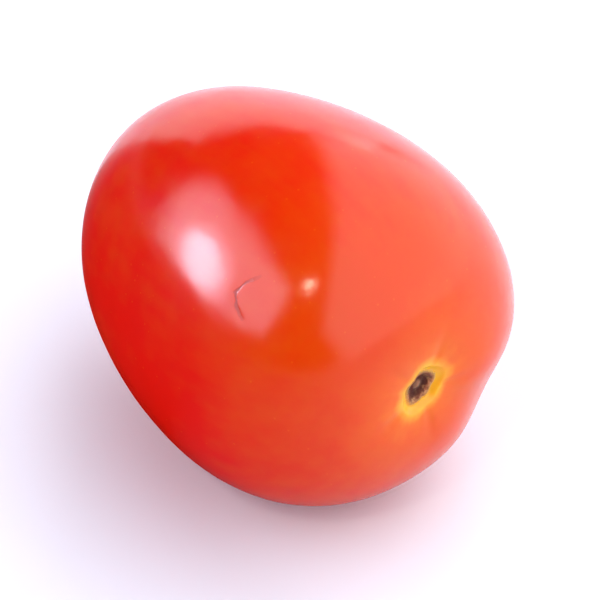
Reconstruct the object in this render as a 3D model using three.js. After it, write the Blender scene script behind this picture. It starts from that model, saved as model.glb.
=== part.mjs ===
// Siriguela tomato: one small plum-shaped fruit with its bare stem scar, lying on its side.
// Millimetres, +Z up. The origin is the middle of the small flat spot that the fruit rests on.
// The fruit's core line runs along X, with the stem end towards +X and raised a little.

import * as THREE from 'three';
import { mergeVertices } from 'three/addons/utils/BufferGeometryUtils.js';

const { clamp, degToRad, smoothstep } = THREE.MathUtils;

// Body of the fruit
const STEM_HALF_LENGTH = 17.7; // from the middle to the stem end, before its dimple
const BLOSSOM_HALF_LENGTH = 19.6; // from the middle to the blossom end
const HALF_THICKNESS = 14.3;
const TAPER = 0.106; // how much thicker the stem half is, and thinner the other
const SQUARENESS = 0.039; // fullness of the shoulders over a plain ellipse
const LOBE_RISE = 0.021; // three soft lobes round the core line
const LOBE_TURN = degToRad(-8.8);
const LOBES = 3;

// Oblique stem end and the furrow on its shoulder
const SKEW = 0.022;
const SKEW_TURN = degToRad(-53.3);
const SKEW_GAIN = 2.54; // brings the shoulder window's peak to one
const FURROW_DEPTH = 0.05; // share of the radius
const FURROW_TURN = degToRad(124.2);
const FURROW_WIDTH = degToRad(14.8);
const FURROW_GAIN = 6.75; // brings the furrow window's peak to one

// Stem dimple with its pleats
const DIMPLE_DEPTH = 0.95;
const DIMPLE_RADIUS = 3.8;
const PLEATS = 5;
const PLEAT_DEPTH = 0.1;
const PLEAT_TURN = degToRad(28);
const PLEAT_RADIUS = 3.4;
const PLEAT_SPREAD = 1.5;

// Stem scar: a sunken oval disc with a corky rim, a pit and the stub of the stem's core
const SCAR_DEPTH = 0.45;
const SCAR_RADIUS = 1.3;
const SCAR_WALL_RADIUS = 1.9;
const SCAR_OVAL = 0.17; // how much longer and narrower than round
const SCAR_TURN = degToRad(52);
const SCAR_POINTS = 5; // left by the five sepals
const SCAR_POINT_RISE = 0.05;
const RIM_HEIGHT = 0.12;
const RIM_RADIUS = 1.12;
const RIM_WIDTH = 0.2;
const PIT_DEPTH = 0.4;
const PIT_FLOOR_RADIUS = 0.6;
const PIT_RADIUS = 1.0;
const STUB_HEIGHT = 0.3;
const STUB_RADIUS = 0.32;

// Blossom end: a shallow dimple with the small point that the flower left
const TIP_DIMPLE_DEPTH = 0.3;
const TIP_DIMPLE_RADIUS = 2.4;
const TIP_HEIGHT = 0.3;
const TIP_RADIUS = 0.45;

// How the fruit lies
const STEM_RISE = degToRad(5.1);
const MIDDLE = new THREE.Vector3(-1.38, 0.5, 13.66); // the fruit's middle, from the flat spot

// Facets
const SEGMENTS = 80;
const RINGS = 60;
const RING_CROWDING = 0.75; // rings stand closer at both ends, where the relief is

function bump(distance, middle, width) {
  return Math.exp(-(((distance - middle) / width) ** 2));
}

// Distance from the middle to the skin, theta from the stem end and psi round the core line
function bodyRadius(theta, psi) {
  const along = Math.cos(theta);
  const across = Math.sin(theta);
  const middleLength = (STEM_HALF_LENGTH + BLOSSOM_HALF_LENGTH) / 2;
  const halfLength = middleLength + (STEM_HALF_LENGTH - middleLength) * along;
  const lobed = 1 + LOBE_RISE * Math.cos(LOBES * (psi - LOBE_TURN));
  const halfThickness = HALF_THICKNESS * (1 + TAPER * along) * lobed;
  const lengthShare = along / halfLength;
  const widthShare = across / halfThickness;
  const ellipse = Math.hypot(lengthShare, widthShare);
  const shoulder = (2 * lengthShare * widthShare / ellipse ** 2) ** 2;
  const full = (1 + SQUARENESS * shoulder) / ellipse;
  const skewWindow = SKEW_GAIN * across * ((1 + along) / 2) ** 4;
  const skewed = full * (1 + SKEW * Math.cos(psi - SKEW_TURN) * skewWindow);
  const furrowWindow = FURROW_GAIN * Math.max(along, 0) ** 4 * across ** 2;
  const furrow = Math.exp((Math.cos(psi - FURROW_TURN) - 1) / FURROW_WIDTH ** 2);
  return skewed * (1 - FURROW_DEPTH * furrow * furrowWindow);
}

// Height of the stem end's relief at a distance from the core line
function stemRelief(distance, psi) {
  const oval = SCAR_OVAL * Math.cos(2 * (psi - SCAR_TURN));
  const pointed = distance / (1 + oval + SCAR_POINT_RISE * Math.cos(SCAR_POINTS * psi));
  const dimple = DIMPLE_DEPTH * bump(distance, 0, DIMPLE_RADIUS);
  const crease = Math.max(Math.cos(PLEATS * (psi - PLEAT_TURN)), 0) ** 4;
  const pleats = PLEAT_DEPTH * crease * bump(distance, PLEAT_RADIUS, PLEAT_SPREAD);
  const scar = SCAR_DEPTH * (1 - smoothstep(pointed, SCAR_RADIUS, SCAR_WALL_RADIUS));
  const rim = RIM_HEIGHT * bump(pointed, RIM_RADIUS, RIM_WIDTH);
  const pit = PIT_DEPTH * (1 - smoothstep(pointed, PIT_FLOOR_RADIUS, PIT_RADIUS));
  const stub = STUB_HEIGHT * bump(pointed, 0, STUB_RADIUS);
  return rim + stub - dimple - pleats - scar - pit;
}

// Height of the blossom end's relief at a distance from the core line
function blossomRelief(distance) {
  const dimple = TIP_DIMPLE_DEPTH * bump(distance, 0, TIP_DIMPLE_RADIUS);
  const tip = TIP_HEIGHT * bump(distance, 0, TIP_RADIUS);
  return tip - dimple;
}

// A point of the skin in the fruit's own frame: core line along X, psi from +Z towards +Y
function skinPoint(theta, psi) {
  const radius = bodyRadius(theta, psi);
  const distance = radius * Math.sin(theta);
  const along = radius * Math.cos(theta);
  const relief = along > 0 ? stemRelief(distance, psi) : -blossomRelief(distance);
  return new THREE.Vector3(along + relief, distance * Math.sin(psi), distance * Math.cos(psi));
}

// The fruit's own weight flattens it where it touches the surface
function flattenBelow(point) {
  const up = new THREE.Vector3(Math.sin(STEM_RISE), 0, Math.cos(STEM_RISE));
  const height = point.dot(up) + MIDDLE.z;
  return height < 0 ? point.addScaledVector(up, -height) : point;
}

// A ball whose points are moved to the skin. The ball's poles on Y become the fruit's ends.
function fruitGeometry() {
  const ball = new THREE.SphereGeometry(1, SEGMENTS, RINGS);
  ball.deleteAttribute('normal');
  ball.deleteAttribute('uv');
  const geometry = mergeVertices(ball);
  const position = geometry.getAttribute('position');
  for (let i = 0; i < position.count; i += 1) {
    const even = Math.acos(clamp(position.getY(i), -1, 1));
    const theta = even - RING_CROWDING * Math.sin(2 * even) / 2;
    const psi = Math.atan2(position.getZ(i), position.getX(i));
    const point = flattenBelow(skinPoint(theta, psi));
    position.setXYZ(i, point.x, point.y, point.z);
  }
  geometry.computeVertexNormals();
  return geometry;
}

const skin = new THREE.MeshStandardMaterial({ color: 0xe0260c, roughness: 0.25, metalness: 0 });

const tomato = new THREE.Mesh(fruitGeometry(), skin);
tomato.name = 'tomato';
tomato.rotation.y = -STEM_RISE;
tomato.position.copy(MIDDLE);

const siriguelaTomato = new THREE.Group();
siriguelaTomato.add(tomato);

export default siriguelaTomato;
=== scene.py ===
import math

import bpy
import numpy as np
from mathutils import Matrix, Quaternion, Vector, noise


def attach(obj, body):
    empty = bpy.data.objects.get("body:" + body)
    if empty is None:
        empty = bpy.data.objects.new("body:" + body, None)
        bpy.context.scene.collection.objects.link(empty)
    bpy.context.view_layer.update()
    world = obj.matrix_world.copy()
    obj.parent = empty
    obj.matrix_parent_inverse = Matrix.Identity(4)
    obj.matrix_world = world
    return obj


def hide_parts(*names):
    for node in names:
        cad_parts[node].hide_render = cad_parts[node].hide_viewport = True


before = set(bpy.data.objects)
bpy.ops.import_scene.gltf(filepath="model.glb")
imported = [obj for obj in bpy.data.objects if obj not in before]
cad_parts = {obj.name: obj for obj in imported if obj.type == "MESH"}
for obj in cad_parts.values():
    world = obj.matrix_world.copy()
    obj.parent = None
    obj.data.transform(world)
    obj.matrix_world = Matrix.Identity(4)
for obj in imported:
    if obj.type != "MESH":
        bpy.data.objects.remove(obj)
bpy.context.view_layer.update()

# Siriguela tomato: one small plum-shaped fruit with its bare stem scar, lying on its side.
# Lengths are millimetres and turn into metres with MM, unless a heading says otherwise.
MM = 0.001

# Body of the fruit, with the values of the part's own source
STEM_HALF_LENGTH = 17.7  # from the middle to the stem end, before its dimple
BLOSSOM_HALF_LENGTH = 19.6  # from the middle to the blossom end
HALF_THICKNESS = 14.3
TAPER = 0.106  # how much thicker the stem half is, and thinner the other
SQUARENESS = 0.039  # fullness of the shoulders over a plain ellipse
LOBE_RISE = 0.021
LOBE_TURN = math.radians(-8.8)
LOBES = 3

# Oblique stem end and the furrow on its shoulder
SKEW = 0.022
SKEW_TURN = math.radians(-53.3)
SKEW_GAIN = 2.54  # brings the shoulder window's peak to one
FURROW_DEPTH = 0.05  # share of the radius
FURROW_TURN = math.radians(124.2)
FURROW_WIDTH = math.radians(14.8)
FURROW_GAIN = 6.75  # brings the furrow window's peak to one

# Stem dimple with its pleats
DIMPLE_DEPTH = 0.95
DIMPLE_RADIUS = 3.8
PLEATS = 5
PLEAT_DEPTH = 0.1
PLEAT_TURN = math.radians(28)
PLEAT_RADIUS = 3.4
PLEAT_SPREAD = 1.5

# Stem scar: a sunken oval disc with a corky rim, a pit and the stub of the stem's core
SCAR_DEPTH = 0.45
SCAR_RADIUS = 1.3
SCAR_WALL_RADIUS = 1.9
SCAR_OVAL = 0.17  # how much longer and narrower than round
SCAR_TURN = math.radians(52)
SCAR_POINTS = 5  # left by the five sepals
SCAR_POINT_RISE = 0.05
RIM_HEIGHT = 0.12
RIM_RADIUS = 1.12
RIM_WIDTH = 0.2
PIT_DEPTH = 0.4
PIT_FLOOR_RADIUS = 0.6
PIT_RADIUS = 1.0
STUB_HEIGHT = 0.3
STUB_RADIUS = 0.32

# Blossom end: a shallow dimple with the small point that the flower left
TIP_DIMPLE_DEPTH = 0.3
TIP_DIMPLE_RADIUS = 2.4
TIP_HEIGHT = 0.3
TIP_RADIUS = 0.45

# How the fruit lies
STEM_RISE = math.radians(5.1)
MIDDLE = Vector((-1.38, 0.5, 13.66))  # the fruit's middle, from the flat spot
FLAT_EDGE = 0.05  # how softly the skin leaves the surface that it rests on
FLAT_REACH = 0.5  # height below which that softness shapes the skin

# Gentle unevenness of the skin, and the grain of the cork
SWELL_HEIGHT = 0.04
SWELL_LENGTH = 6.0
RIPPLE_HEIGHT = 0.015
RIPPLE_LENGTH = 2.4
GRAIN_HEIGHT = 0.05
GRAIN_LENGTH = 0.35

# Small healed crack in the skin, in the fruit's own frame
CRACK = [
    (9.76, -8.97, 10.23), (9.07, -9.79, 9.70), (8.74, -10.53, 8.95),
    (9.24, -10.87, 8.24), (10.11, -11.0, 7.51),
]
CRACK_MIDDLE = CRACK[2]
CRACK_DEPTH = 0.035
CRACK_WIDTH = 0.25

# Fine mesh
SEGMENTS = 300
RINGS = 300
RING_CROWDING = 0.75  # rings stand closer at both ends, where the relief is

# Colours of the skin, as shares of the light that comes back
DEEP_RED = (0.66, 0.003, 0.0002)
ORANGE_RED = (0.67, 0.052, 0.0006)
ORANGE = (0.75, 0.15, 0.004)
GOLD = (0.82, 0.42, 0.025)
CORK_DARK = (0.14, 0.034, 0.018)
CORK_TAN = (0.58, 0.29, 0.14)
CORK_EDGE = (0.50, 0.25, 0.10)
# Floor of the pit: partly the scar's dry brown, partly painted shade in the recess.
PIT_BROWN_AND_SHADE = (0.08, 0.016, 0.012)
STUB_TAN = (0.36, 0.20, 0.12)
TIP_BROWN = (0.10, 0.04, 0.02)
CRACK_RED = (0.20, 0.008, 0.012)

# Paleness of the body: 0 is deep red and 1 is orange red. A fade goes from a place to a place and
# its range from a share to a share. A scale is the noise features in a millimetre, and a swing is
# how far up and down that noise moves what it is added to.
# The side that is deeper red, facing down and to the camera's left: partly riper skin, partly painted
# red bounce light and shade.
RIPE_AND_BOUNCE_SIDE = (0.0, -0.87, -0.5)  # direction in the fruit's own frame
PALE_SIDE_FADE = (0.95, 0.05)  # cosines of the angle from the ripe side
LENGTH_FADE = (-17.0, 17.0)  # along the core line, from the blossom end to the stem end
LENGTH_RANGE = (0.2, 0.6)
SHOULDER_FADE = (4.0, 18.0)
SHOULDER_RANGE = (0.0, 0.75)
PATCH_SCALE = 0.11
PATCH_SWING = 0.1
STREAK_SCALES = (0.07, 0.6, 0.6)  # the streaks run along the core line
STREAK_SWING = 0.12
STREAK_SPAN = (0.25, 0.75)  # the values of the noise that take the whole swing
MOTTLE_SCALE = 0.38
MOTTLE_SWING = 0.1
SPECK_SCALE = 0.9
SPECK_FADE = (0.1, 0.04)  # in cells of the speck pattern
SPECK_SHARE = 0.25

# Golden ring round the scar, in distances from the core line
WIDE_RING_FADE = (9.0, 2.5)
WIDE_RING_RANGE = (0.0, 0.5)
CLOSE_RING_FADE = (4.2, 1.9)
CLOSE_RING_RANGE = (0.0, 0.8)
GOLD_RING_FADE = (2.75, 1.5)
GOLD_RING_WANDER = 0.3  # how much of the orange rings' wandering it shares
RAY_SCALE = 1.7  # on a circle of radius one
RAY_SWING = 0.4
RING_MOTTLE_SCALE = 0.8
RING_MOTTLE_SWING = 0.3

# Colours of the scar, in distances from the core line
CORK_RADIUS = 1.25
CORK_SOFTNESS = 0.15
CORK_SWING = 0.07
CORK_GRAIN_SCALE = 4.0
CORK_GRAIN_ROUGHNESS = 0.7
CORK_GRAIN_FADE = (0.62, 0.4)  # values of the grain
CORK_GRAIN_RANGE = (0.0, 0.7)
TAN_SCALE = 1.7
# The cork is painted lighter tan towards this side and darker away from it: painted light on the
# scar's lower wall, painted shade towards its upper side.
PAINTED_LIT_SIDE = (0, 0.61, -0.79)  # direction in the fruit's own frame
PAINTED_LIT_GAIN = 0.12
TAN_FADE = (0.45, 0.66)  # values of the patches
CORK_EDGE_START = 0.95
CORK_EDGE_RANGE = (0.0, 0.8)
PIT_BROWN_AND_SHADE_SHARE = 0.75
STUB_FADE = (0.4, 0.2)
STUB_SHARE = 0.7

# Colours of the blossom end, in distances from the core line
TIP_RING_FADE = (2.4, 0.5)
TIP_RING_RANGE = (0.0, 0.35)
TIP_FADE = (0.5, 0.3)

# Colour of the crack, in distances from its line and from its middle corner
CRACK_FADE = (0.17, 0.04)
CRACK_SCALE = 1.4
CRACK_SWING = 0.08
CRACK_LENGTH_FADE = (2.6, 0.4)
CRACK_RANGE = (0.12, 0.6)

# Surface of the skin
GLOSS_RANGE = (0.18, 0.8)  # roughness of the bare skin and of the cork
CRACK_DULLNESS = 0.5
WAX_SCALE = 0.35
WAX_SWING = 0.02
SKIN_IOR = 1.45
FLESH_SHARE = 0.6
FLESH_SCALE = 1.5
FLESH_RADII = (2.0, 0.3, 0.15)  # how many scales far red, green and blue light go in the flesh
FINE_SCALE = 0.8
FINE_HEIGHT = 0.012
CORK_GRAIN_HEIGHT = 0.12
GROOVE_DEPTH = 0.035

# Camera, from the fitted outline, with directions in degrees
CAMERA_TURN = -35.15  # azimuth of the camera, from +X towards +Y
CAMERA_RISE = 39.4
CAMERA_DISTANCE = 510.0
VIEW_WIDTH = 45.0  # at the fruit
AIM_RIGHT = 0.642  # from the fruit's middle to the view's
AIM_UP = -1.011
SENSOR_WIDTH = 36.0
NEAREST_SEEN = 10.0
FARTHEST_SEEN = 20000.0

# Colours of the light
WHITE = (1.0, 1.0, 1.0)
PALE_BLUE = (0.91, 0.92, 1.0)
SKY_BLUE = (0.80, 0.80, 1.0)
PALE_YELLOW = (1.0, 0.95, 0.7)
ROOM_LIGHT = (0.02, 0.012, 0.014)

# Floor, with its half size in metres
FLOOR_HALF = 4.0
FLOOR_WHITE = (0.79, 0.82, 0.93)
FLOOR_ROUGHNESS = 0.4
FLOOR_SPECULAR = 0.4

# Dark card on the floor, seen only in the skin's mirror as a painted dark red reflection: lengths in
# metres, turns in degrees from the camera's azimuth
CARD_HEIGHT = 0.0002
CARD_REACH = 0.8
CARD_LEFT = -148
CARD_RIGHT = 172
CARD_STEP = 5
CARD_DARK_TURN = -100  # where it is darkest
CARD_DARK_FADE = (-1.0, 0.9)  # cosines of the angle from there
CARD_DARK_RANGE = (0.22, 1.0)
CARD_CLEAR_TURN = 150  # where it is clear
CARD_CLEAR_FADE = (0.9, 0.26)  # cosines of the angle from there
CARD_RED = (0.20, 0.018, 0.010)
CARD_ROUGHNESS = 0.9


def bump(distance, middle, width):
    """A smooth hump of height one."""
    return np.exp(-(((distance - middle) / width) ** 2))


def smoothstep(value, low, high):
    """Goes smoothly from 0 to 1 as value goes from low to high."""
    share = np.clip((value - low) / (high - low), 0, 1)
    return share * share * (3 - 2 * share)


def body_radius(theta, psi):
    """Distance from the middle to the skin, theta from the stem end and psi round the core line."""
    along = np.cos(theta)
    across = np.sin(theta)
    middle_length = (STEM_HALF_LENGTH + BLOSSOM_HALF_LENGTH) / 2
    half_length = middle_length + (STEM_HALF_LENGTH - middle_length) * along
    lobed = 1 + LOBE_RISE * np.cos(LOBES * (psi - LOBE_TURN))
    half_thickness = HALF_THICKNESS * (1 + TAPER * along) * lobed
    length_share = along / half_length
    width_share = across / half_thickness
    ellipse = np.hypot(length_share, width_share)
    shoulder = (2 * length_share * width_share / ellipse**2) ** 2
    full = (1 + SQUARENESS * shoulder) / ellipse
    skew_window = SKEW_GAIN * across * ((1 + along) / 2) ** 4
    skewed = full * (1 + SKEW * np.cos(psi - SKEW_TURN) * skew_window)
    furrow_window = FURROW_GAIN * np.maximum(along, 0) ** 4 * across**2
    furrow = np.exp((np.cos(psi - FURROW_TURN) - 1) / FURROW_WIDTH**2)
    return skewed * (1 - FURROW_DEPTH * furrow * furrow_window)


def stem_relief(distance, psi):
    """Height of the stem end's relief at a distance from the core line."""
    oval = SCAR_OVAL * np.cos(2 * (psi - SCAR_TURN))
    pointed = distance / (1 + oval + SCAR_POINT_RISE * np.cos(SCAR_POINTS * psi))
    dimple = DIMPLE_DEPTH * bump(distance, 0, DIMPLE_RADIUS)
    crease = np.maximum(np.cos(PLEATS * (psi - PLEAT_TURN)), 0) ** 4
    pleats = PLEAT_DEPTH * crease * bump(distance, PLEAT_RADIUS, PLEAT_SPREAD)
    scar = SCAR_DEPTH * (1 - smoothstep(pointed, SCAR_RADIUS, SCAR_WALL_RADIUS))
    rim = RIM_HEIGHT * bump(pointed, RIM_RADIUS, RIM_WIDTH)
    pit = PIT_DEPTH * (1 - smoothstep(pointed, PIT_FLOOR_RADIUS, PIT_RADIUS))
    stub = STUB_HEIGHT * bump(pointed, 0, STUB_RADIUS)
    return rim + stub - dimple - pleats - scar - pit


def blossom_relief(distance):
    """Height of the blossom end's relief at a distance from the core line."""
    dimple = TIP_DIMPLE_DEPTH * bump(distance, 0, TIP_DIMPLE_RADIUS)
    tip = TIP_HEIGHT * bump(distance, 0, TIP_RADIUS)
    return tip - dimple


def skin_points(theta, psi):
    """Points of the skin in the fruit's own frame: core line along X, psi from +Z towards +Y."""
    radius = body_radius(theta, psi)
    distance = radius * np.sin(theta)
    along = radius * np.cos(theta)
    relief = np.where(along > 0, stem_relief(distance, psi), -blossom_relief(distance))
    return np.stack([along + relief, distance * np.sin(psi), distance * np.cos(psi)], axis=-1)


def crack_distance(points):
    """Distance of each point from the crack's line."""
    nearest = np.full(len(points), np.inf)
    for start, end in zip(CRACK, CRACK[1:]):
        start = np.array(start)
        stretch = np.array(end) - start
        share = np.clip((points - start) @ stretch / (stretch @ stretch), 0, 1)
        reach = np.linalg.norm(points - start - share[:, None] * stretch, axis=-1)
        nearest = np.minimum(nearest, reach)
    return nearest


def uneven(points):
    """Adds the skin's gentle unevenness, the cork's grain and the crack's dent."""
    swell = np.array([noise.noise(Vector(point) / SWELL_LENGTH) for point in points])
    ripple = np.array([noise.noise(Vector(point) / RIPPLE_LENGTH) for point in points])
    height = SWELL_HEIGHT * swell + RIPPLE_HEIGHT * ripple
    across = np.hypot(points[:, 1], points[:, 2])
    in_scar = (points[:, 0] > 0) & (across < CORK_RADIUS)
    for i in np.flatnonzero(in_scar):
        height[i] += GRAIN_HEIGHT * noise.noise(Vector(points[i]) / GRAIN_LENGTH)
    height -= CRACK_DEPTH * bump(crack_distance(points), 0, CRACK_WIDTH)
    length = np.linalg.norm(points, axis=-1)
    return points * (1 + height / length)[:, None]


def lying(points):
    """The fruit's own frame turned and moved to where it lies."""
    turn = np.array(Matrix.Rotation(-STEM_RISE, 3, "Y"))
    return points @ turn.T + np.array(MIDDLE)


def flattened(points):
    """The fruit's own weight flattens it where it touches the surface."""
    height = points[..., 2]
    soft = (height + np.sqrt(height**2 + FLAT_EDGE**2)) / 2
    points[..., 2] = np.where(height < FLAT_REACH, soft, height)
    return points


def fruit_mesh():
    """Rings of the skin from the stem end to the blossom end, closed by a point at each end."""
    even = np.linspace(0, math.pi, RINGS + 1)[1:-1]
    theta = (even - RING_CROWDING * np.sin(2 * even) / 2)[:, None]
    psi = np.linspace(0, 2 * math.pi, SEGMENTS, endpoint=False)[None, :]
    rings = skin_points(theta, psi).reshape(-1, 3)
    ends = skin_points(np.array([0.0, math.pi]), np.array([0.0, 0.0]))
    own = uneven(np.concatenate([rings, ends]))
    points = flattened(lying(own)) * MM
    stem_end = len(rings)
    blossom_end = stem_end + 1
    faces = []
    for ring in range(len(even) - 1):
        start = ring * SEGMENTS
        for i in range(SEGMENTS):
            j = (i + 1) % SEGMENTS
            faces.append((start + i, start + SEGMENTS + i, start + SEGMENTS + j, start + j))
    last = (len(even) - 1) * SEGMENTS
    for i in range(SEGMENTS):
        j = (i + 1) % SEGMENTS
        faces.append((stem_end, i, j))
        faces.append((blossom_end, last + j, last + i))
    mesh = bpy.data.meshes.new("tomato_skin")
    mesh.from_pydata(points.tolist(), [], faces)
    mesh.polygons.foreach_set("use_smooth", [True] * len(mesh.polygons))
    mesh.update()
    return mesh


def new_object(name, data):
    """Makes an object and puts it in the scene."""
    made = bpy.data.objects.new(name, data)
    bpy.context.scene.collection.objects.link(made)
    return made


def new_material(name):
    """Makes a material with nodes."""
    material = bpy.data.materials.new(name)
    material.use_nodes = True
    return material


class Nodes:
    """Short names for the node steps of one material or world."""

    def __init__(self, tree):
        self.tree = tree
        tree.nodes.clear()

    def add(self, kind, **settings):
        node = self.tree.nodes.new(kind)
        for name, value in settings.items():
            setattr(node, name, value)
        return node

    def feed(self, socket, value):
        """Links another node's output to the socket, or sets its constant."""
        if isinstance(value, bpy.types.NodeSocket):
            self.tree.links.new(value, socket)
        else:
            socket.default_value = value

    def math(self, operation, *values, clamp=False):
        node = self.add("ShaderNodeMath", operation=operation, use_clamp=clamp)
        for socket, value in zip(node.inputs, values):
            self.feed(socket, value)
        return node.outputs[0]

    def vector(self, operation, *values, scale=None):
        node = self.add("ShaderNodeVectorMath", operation=operation)
        for socket, value in zip(node.inputs, values):
            self.feed(socket, value)
        if scale is not None:
            self.feed(node.inputs["Scale"], scale)
        return node.outputs["Value" if operation in ("LENGTH", "DOT_PRODUCT") else "Vector"]

    def fade(self, value, places, shares=(0.0, 1.0), kind="SMOOTHSTEP"):
        """Goes from the first share to the second as value goes from place to place."""
        node = self.add("ShaderNodeMapRange", interpolation_type=kind)
        names = ("From Min", "From Max", "To Min", "To Max")
        for name, number in zip(names, (*places, *shares)):
            self.feed(node.inputs[name], number)
        self.feed(node.inputs["Value"], value)
        return node.outputs["Result"]

    def mix(self, share, low, high):
        """Goes from the low colour to the high one as share goes from 0 to 1."""
        node = self.add("ShaderNodeMix", data_type="RGBA", clamp_factor=True)
        self.feed(node.inputs["Factor"], share)
        colours = [socket for socket in node.inputs if socket.type == "RGBA"]
        for socket, value in zip(colours, (low, high)):
            self.feed(socket, (*value, 1.0) if isinstance(value, tuple) else value)
        return next(socket for socket in node.outputs if socket.type == "RGBA")

    def noise(self, vector, scale, detail, roughness=0.5):
        """Soft noise between 0 and 1."""
        node = self.add("ShaderNodeTexNoise")
        self.feed(node.inputs["Vector"], vector)
        self.feed(node.inputs["Scale"], scale)
        self.feed(node.inputs["Detail"], detail)
        self.feed(node.inputs["Roughness"], roughness)
        return node.outputs["Fac"]

    def swing(self, noise_value, reach, span=(0.3, 0.7)):
        """Turns noise into an offset from -reach to reach, over the span where most of it lies."""
        return self.fade(noise_value, span, (-reach, reach))

    def specks(self, vector, scale, places):
        """Small round specks, where random points of a grid of cells lie close to the skin."""
        node = self.add("ShaderNodeTexVoronoi", feature="F1")
        self.feed(node.inputs["Vector"], vector)
        self.feed(node.inputs["Scale"], scale)
        return self.fade(node.outputs["Distance"], places)

    def line_distance(self, vector, corners):
        """Distance from a line through the corners."""
        nearest = None
        for start, end in zip(corners, corners[1:]):
            stretch = Vector(end) - Vector(start)
            offset = self.vector("SUBTRACT", vector, start)
            reach = self.vector("DOT_PRODUCT", offset, tuple(stretch))
            share = self.math("DIVIDE", reach, stretch.length_squared, clamp=True)
            foot = self.vector("SCALE", tuple(stretch), scale=share)
            distance = self.vector("LENGTH", self.vector("SUBTRACT", offset, foot))
            nearest = distance if nearest is None else self.math("MINIMUM", nearest, distance)
        return nearest

    def mix_shaders(self, share, low, high):
        """Goes from the low shader to the high one as share goes from 0 to 1."""
        node = self.add("ShaderNodeMixShader")
        for socket, value in zip(node.inputs, (share, low, high)):
            self.feed(socket, value)
        return node.outputs[0]

    def show(self, kind, surface):
        """Sends the surface to an output node."""
        self.feed(self.add(kind).inputs["Surface"], surface)


class SkinPlace:
    """Where a point of the skin is, in millimetres of the fruit's own frame.

    spot is the point, along its place on the core line, across its distance from that line and
    turn its direction from it. pointed is that distance as if the scar's pointed oval were round.
    """

    def __init__(self, nodes):
        place = nodes.add("ShaderNodeMapping", vector_type="TEXTURE")
        nodes.feed(place.inputs["Vector"], nodes.add("ShaderNodeTexCoord").outputs["Object"])
        place.inputs["Location"].default_value = MIDDLE * MM
        place.inputs["Rotation"].default_value = (0, -STEM_RISE, 0)
        place.inputs["Scale"].default_value = (MM, MM, MM)
        self.spot = place.outputs["Vector"]
        axes = nodes.add("ShaderNodeSeparateXYZ")
        nodes.feed(axes.inputs[0], self.spot)
        self.along = axes.outputs["X"]
        sideways = nodes.vector("MULTIPLY", self.spot, (0, 1, 1))
        self.across = nodes.vector("LENGTH", sideways)
        self.turn = nodes.vector("NORMALIZE", sideways)
        psi = nodes.math("ARCTAN2", axes.outputs["Y"], axes.outputs["Z"])
        twice = nodes.math("MULTIPLY_ADD", psi, 2.0, -2 * SCAR_TURN)
        oval = nodes.math("MULTIPLY", nodes.math("COSINE", twice), SCAR_OVAL)
        points = nodes.math("COSINE", nodes.math("MULTIPLY", psi, float(SCAR_POINTS)))
        reach = nodes.math("MULTIPLY_ADD", points, SCAR_POINT_RISE, nodes.math("ADD", oval, 1.0))
        self.pointed = nodes.math("DIVIDE", self.across, reach)
        self.stem_side = nodes.math("GREATER_THAN", self.along, 0.0)
        self.blossom_side = nodes.math("SUBTRACT", 1.0, self.stem_side)


def body_colour(nodes, place):
    """Deep red at the blossom end and on the side that faces down and to the camera's left, orange
    red at the stem end. That side's deeper red is partly riper skin and partly painted red bounce
    light and shade.
    """
    facing = nodes.vector("DOT_PRODUCT", place.turn, RIPE_AND_BOUNCE_SIDE)
    pale_side = nodes.fade(facing, PALE_SIDE_FADE, kind="LINEAR")
    length = nodes.fade(place.along, LENGTH_FADE, LENGTH_RANGE, "LINEAR")
    shoulder = nodes.fade(place.along, SHOULDER_FADE, SHOULDER_RANGE)
    patches = nodes.swing(nodes.noise(place.spot, PATCH_SCALE, detail=2.0), PATCH_SWING)
    streaked = nodes.vector("MULTIPLY", place.spot, STREAK_SCALES)
    streaks = nodes.swing(nodes.noise(streaked, 1.0, detail=3.0), STREAK_SWING, STREAK_SPAN)
    mottle = nodes.swing(nodes.noise(place.spot, MOTTLE_SCALE, detail=3.0), MOTTLE_SWING)
    uneven_share = nodes.math("ADD", patches, nodes.math("ADD", streaks, mottle))
    even_share = nodes.math("MULTIPLY_ADD", pale_side, length, shoulder)
    share = nodes.math("ADD", even_share, uneven_share, clamp=True)
    colour = nodes.mix(share, DEEP_RED, ORANGE_RED)
    specks = nodes.specks(place.spot, SPECK_SCALE, SPECK_FADE)
    return nodes.mix(nodes.math("MULTIPLY", specks, SPECK_SHARE), colour, ORANGE)


def ring_colours(nodes, place, colour):
    """The golden ring round the stem scar fades to orange with streaks along the pleats."""
    rays = nodes.swing(nodes.noise(place.turn, RAY_SCALE, detail=3.0), RAY_SWING)
    mottle = nodes.swing(nodes.noise(place.spot, RING_MOTTLE_SCALE, detail=3.0), RING_MOTTLE_SWING)
    wander = nodes.math("ADD", rays, mottle)
    ring = nodes.math("ADD", place.pointed, wander)
    for places, shares in ((WIDE_RING_FADE, WIDE_RING_RANGE), (CLOSE_RING_FADE, CLOSE_RING_RANGE)):
        orange = nodes.math("MULTIPLY", nodes.fade(ring, places, shares), place.stem_side)
        colour = nodes.mix(orange, colour, ORANGE)
    ring = nodes.math("ADD", place.pointed, nodes.math("MULTIPLY", wander, GOLD_RING_WANDER))
    gold = nodes.math("MULTIPLY", nodes.fade(ring, GOLD_RING_FADE), place.stem_side)
    return nodes.mix(gold, colour, GOLD)


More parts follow.
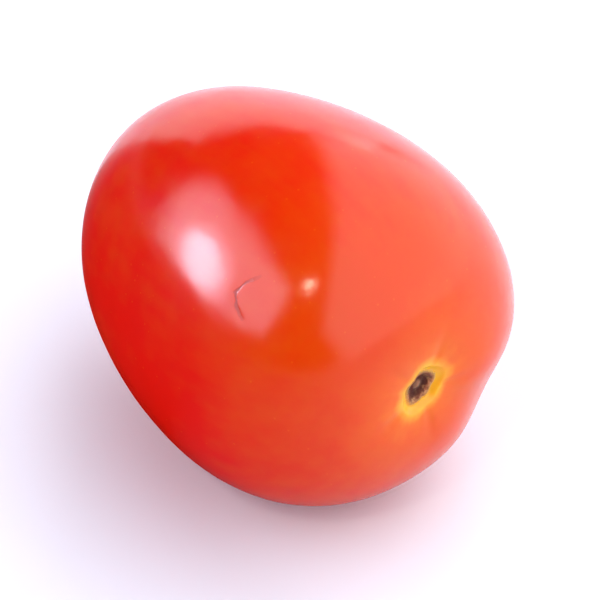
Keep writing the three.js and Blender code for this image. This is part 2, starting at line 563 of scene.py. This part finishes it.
def scar_colours(nodes, place, colour, cork_grain):
    """Cork with tan patches, painted lighter towards its lower side and darker towards its upper side
    as painted light and shade, a pit painted dark brown as partly its dry colour and partly painted
    shade, and the stub of the stem's core.
    """
    # Painted light and shade: the cork turns tan towards its lower side and dark away from it.
    painted_lit_side = nodes.vector("DOT_PRODUCT", place.spot, PAINTED_LIT_SIDE)
    patches = nodes.noise(place.spot, TAN_SCALE, detail=2.0)
    patches = nodes.math("ADD", patches, nodes.math("MULTIPLY", painted_lit_side, PAINTED_LIT_GAIN))
    cork = nodes.mix(nodes.fade(patches, TAN_FADE), CORK_DARK, CORK_TAN)
    cork = nodes.mix(nodes.fade(cork_grain, CORK_GRAIN_FADE, CORK_GRAIN_RANGE), cork, CORK_DARK)
    # The pit is painted dark: partly the scar's dry brown, partly painted shade in the recess.
    pit = nodes.fade(place.pointed, (PIT_RADIUS, PIT_FLOOR_RADIUS))
    cork = nodes.mix(nodes.math("MULTIPLY", pit, PIT_BROWN_AND_SHADE_SHARE), cork, PIT_BROWN_AND_SHADE)
    stub = nodes.fade(place.pointed, STUB_FADE)
    cork = nodes.mix(nodes.math("MULTIPLY", stub, STUB_SHARE), cork, STUB_TAN)
    edge = nodes.fade(place.pointed, (CORK_EDGE_START, CORK_RADIUS), CORK_EDGE_RANGE)
    cork = nodes.mix(edge, cork, CORK_EDGE)
    ragged = nodes.math("ADD", place.pointed, nodes.swing(cork_grain, CORK_SWING))
    scar = nodes.fade(ragged, (CORK_RADIUS + CORK_SOFTNESS, CORK_RADIUS - CORK_SOFTNESS))
    scar = nodes.math("MULTIPLY", scar, place.stem_side)
    return nodes.mix(scar, colour, cork), scar


def blossom_colours(nodes, place, colour):
    """A paler ring and the small dry point that the flower left."""
    paler = nodes.fade(place.across, TIP_RING_FADE, TIP_RING_RANGE)
    colour = nodes.mix(nodes.math("MULTIPLY", paler, place.blossom_side), colour, ORANGE)
    tip = nodes.math("MULTIPLY", nodes.fade(place.across, TIP_FADE), place.blossom_side)
    return nodes.mix(tip, colour, TIP_BROWN), tip


def crack_colour(nodes, place, colour):
    """The healed crack, strongest at its middle corner and fainter towards its ends."""
    ragged = nodes.swing(nodes.noise(place.spot, CRACK_SCALE, detail=3.0), CRACK_SWING)
    distance = nodes.math("ADD", nodes.line_distance(place.spot, CRACK), ragged)
    corner = nodes.vector("LENGTH", nodes.vector("SUBTRACT", place.spot, CRACK_MIDDLE))
    strength = nodes.fade(corner, CRACK_LENGTH_FADE, CRACK_RANGE)
    crack = nodes.math("MULTIPLY", nodes.fade(distance, CRACK_FADE), strength)
    return nodes.mix(crack, colour, CRACK_RED), crack


def skin_material():
    """Ripe skin over red flesh, with the corky scar, the dry blossom point and the healed crack."""
    material = new_material("tomato_skin")
    nodes = Nodes(material.node_tree)
    place = SkinPlace(nodes)
    cork_grain = nodes.noise(place.spot, CORK_GRAIN_SCALE, detail=4.0, roughness=CORK_GRAIN_ROUGHNESS)
    colour = body_colour(nodes, place)
    colour = ring_colours(nodes, place, colour)
    colour, scar = scar_colours(nodes, place, colour, cork_grain)
    colour, tip = blossom_colours(nodes, place, colour)
    colour, crack = crack_colour(nodes, place, colour)

    corky = nodes.math("MAXIMUM", scar, tip)
    dull = nodes.math("MAXIMUM", corky, nodes.math("MULTIPLY", crack, CRACK_DULLNESS))
    wax = nodes.swing(nodes.noise(place.spot, WAX_SCALE, detail=3.0), WAX_SWING)
    roughness = nodes.math("ADD", nodes.fade(dull, (0.0, 1.0), GLOSS_RANGE, "LINEAR"), wax)
    shader = nodes.add("ShaderNodeBsdfPrincipled")
    nodes.feed(shader.inputs["Base Color"], colour)
    nodes.feed(shader.inputs["Roughness"], roughness)
    shader.inputs["IOR"].default_value = SKIN_IOR
    shader.inputs["Subsurface Weight"].default_value = FLESH_SHARE
    shader.inputs["Subsurface Radius"].default_value = FLESH_RADII
    shader.inputs["Subsurface Scale"].default_value = FLESH_SCALE * MM

    # Fine unevenness of the skin, the grain of the cork and the groove of the crack
    fine = nodes.math("MULTIPLY", nodes.noise(place.spot, FINE_SCALE, detail=2.0), FINE_HEIGHT)
    grain = nodes.math("MULTIPLY", nodes.math("MULTIPLY", cork_grain, CORK_GRAIN_HEIGHT), corky)
    groove = nodes.math("MULTIPLY", crack, -GROOVE_DEPTH)
    height = nodes.math("ADD", fine, nodes.math("ADD", grain, groove))
    relief = nodes.add("ShaderNodeBump")
    nodes.feed(relief.inputs["Height"], nodes.math("MULTIPLY", height, MM))
    relief.inputs["Distance"].default_value = 1.0
    nodes.feed(shader.inputs["Normal"], relief.outputs["Normal"])
    nodes.show("ShaderNodeOutputMaterial", shader.outputs["BSDF"])
    return material


def direction(turn, rise):
    """Unit vector of an azimuth counted from the camera's, positive to its right, and a rise."""
    azimuth = math.radians(CAMERA_TURN + turn)
    elevation = math.radians(rise)
    level = math.cos(elevation)
    return Vector((level * math.cos(azimuth), level * math.sin(azimuth), math.sin(elevation)))


def panel(name, turn, rise, distance, size, radiance, colour=WHITE, shape="RECTANGLE", roll=0):
    """An area light of even radiance that faces the fruit: angles in degrees, lengths in metres."""
    width, height = size
    data = bpy.data.lights.new(name, "AREA")
    data.shape = shape
    data.size = width
    data.size_y = height
    area = width * height * (math.pi / 4 if shape == "ELLIPSE" else 1)
    data.energy = radiance * math.pi * area
    data.color = colour
    lamp = new_object(name, data)
    towards = direction(turn, rise)
    lamp.location = MIDDLE * MM + towards * distance
    rolled = Quaternion((0, 0, 1), math.radians(roll))
    lamp.rotation_euler = (towards.to_track_quat("Z", "Y") @ rolled).to_euler()
    lamp.visible_camera = False
    return lamp


def white_floor():
    """A wide satin floor under the fruit."""
    low, high = -FLOOR_HALF, FLOOR_HALF
    mesh = bpy.data.meshes.new("floor")
    corners = [(low, low, 0), (high, low, 0), (high, high, 0), (low, high, 0)]
    mesh.from_pydata(corners, [], [(0, 1, 2, 3)])
    material = new_material("floor")
    shader = material.node_tree.nodes["Principled BSDF"]
    shader.inputs["Base Color"].default_value = (*FLOOR_WHITE, 1)
    shader.inputs["Roughness"].default_value = FLOOR_ROUGHNESS
    shader.inputs["Specular IOR Level"].default_value = FLOOR_SPECULAR
    mesh.materials.append(material)
    floor = new_object("floor", mesh)


def card_material():
    """Dark red paint, strongest at the camera's left, and clear at the far right and from below. The
    skin mirrors it as a painted dark red reflection.
    """
    material = new_material("dark_card")
    nodes = Nodes(material.node_tree)
    paint = nodes.add("ShaderNodeBsdfPrincipled")
    paint.inputs["Base Color"].default_value = (*CARD_RED, 1)
    paint.inputs["Roughness"].default_value = CARD_ROUGHNESS
    paint.inputs["Specular IOR Level"].default_value = 0.0
    towards = nodes.vector("NORMALIZE", nodes.add("ShaderNodeTexCoord").outputs["Object"])
    dark = nodes.vector("DOT_PRODUCT", towards, direction(CARD_DARK_TURN, 0))
    dark_share = nodes.fade(dark, CARD_DARK_FADE, CARD_DARK_RANGE, "LINEAR")
    clear = nodes.vector("DOT_PRODUCT", towards, direction(CARD_CLEAR_TURN, 0))
    share = nodes.math("MULTIPLY", dark_share, nodes.fade(clear, CARD_CLEAR_FADE))
    from_below = nodes.add("ShaderNodeNewGeometry").outputs["Backfacing"]
    share = nodes.math("MULTIPLY", share, nodes.math("SUBTRACT", 1.0, from_below))
    clear_paint = nodes.add("ShaderNodeBsdfTransparent").outputs[0]
    nodes.show("ShaderNodeOutputMaterial", nodes.mix_shaders(share, clear_paint, paint.outputs[0]))
    return material


def dark_card():
    """A card just over the floor that darkens what the skin mirrors. Only mirror rays meet it."""
    middle = Vector((0, 0, CARD_HEIGHT))
    turns = range(CARD_LEFT, CARD_RIGHT + 1, CARD_STEP)
    rim = [direction(turn, 0) * CARD_REACH + middle for turn in turns]
    mesh = bpy.data.meshes.new("dark_card")
    mesh.from_pydata([middle, *rim], [], [tuple(range(len(rim) + 1))])
    mesh.materials.append(card_material())
    card = new_object("dark_card", mesh)
    for ray in ("camera", "diffuse", "transmission", "volume_scatter", "shadow"):
        setattr(card, "visible_" + ray, False)


def world_light(ambient, backdrop):
    """Even light from all round. Where the floor ends, the camera sees a plain backdrop."""
    world = bpy.data.worlds.new("studio")
    world.use_nodes = True
    nodes = Nodes(world.node_tree)
    light = nodes.add("ShaderNodeBackground")
    light.inputs["Color"].default_value = (*ambient, 1)
    seen = nodes.add("ShaderNodeBackground")
    seen.inputs["Color"].default_value = (*backdrop, 1)
    camera_ray = nodes.add("ShaderNodeLightPath").outputs["Is Camera Ray"]
    either = nodes.mix_shaders(camera_ray, light.outputs[0], seen.outputs[0])
    nodes.show("ShaderNodeOutputWorld", either)
    bpy.context.scene.world = world


def studio_lights():
    """A wide wall of light at the camera's right, a window of light at its left, a small lamp."""
    world_light(ROOM_LIGHT, WHITE)
    panel("right_wall_short", 90, 40, 1.02, (5.6, 1.8), 0.65)
    panel("right_wall", 90, 40, 1.0, (6.6, 2.04), 0.65)
    panel("right_wall_long", 90, 40, 0.98, (8.2, 2.28), 0.65)
    panel("back_wall", -172, 6, 1.4, (1.24, 0.6), 1.5)
    panel("window", -84, 30, 0.9, (1.5, 0.66), 2.1, PALE_BLUE, roll=12)
    panel("small_lamp", -17, 50, 1.2, (0.1, 0.1), 43.0, PALE_YELLOW, "ELLIPSE")
    glints = [
        panel("window_glow", -82, 31, 0.89, (1.68, 0.8), 0.9, SKY_BLUE, "ELLIPSE", 12),
        panel("window_face", -82, 29, 0.886, (1.32, 0.52), 1.5, SKY_BLUE, roll=12),
        panel("window_middle", -96, 20, 0.88, (0.58, 0.36), 3.0, SKY_BLUE, "ELLIPSE"),
        panel("window_core", -97, 18, 0.86, (0.36, 0.26), 14.0, SKY_BLUE, "ELLIPSE"),
    ]
    for glint in glints:
        glint.visible_diffuse = False
    fills = [
        panel("top_fill", 0, 90, 1.6, (3.2, 3.2), 0.25, SKY_BLUE, "ELLIPSE"),
        panel("low_fill", -55, 12, 1.4, (1.8, 0.6), 0.6),
        panel("back_fill", 175, 50, 1.6, (2.0, 1.6), 1.1, PALE_BLUE, "ELLIPSE"),
    ]
    for fill in fills:
        fill.visible_glossy = False


def camera():
    """The photograph's camera, close enough for the one fruit."""
    data = bpy.data.cameras.new("camera")
    data.sensor_width = SENSOR_WIDTH
    data.lens = SENSOR_WIDTH * CAMERA_DISTANCE / VIEW_WIDTH
    data.clip_start = NEAREST_SEEN * MM
    data.clip_end = FARTHEST_SEEN * MM
    seen_from = direction(0, CAMERA_RISE)
    right = Vector((0, 0, 1)).cross(seen_from).normalized()
    up = seen_from.cross(right)
    target = MIDDLE * MM + (right * AIM_RIGHT + up * AIM_UP) * MM
    eye = new_object("camera", data)
    eye.location = target + seen_from * CAMERA_DISTANCE * MM
    eye.rotation_euler = seen_from.to_track_quat("Z", "Y").to_euler()
    bpy.context.scene.camera = eye


fruit = new_object("tomato_skin", fruit_mesh())
fruit.data.materials.append(skin_material())
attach(fruit, "root")
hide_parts("tomato")

white_floor()
dark_card()
studio_lights()
camera()
bpy.context.scene.view_settings.view_transform = "Standard"
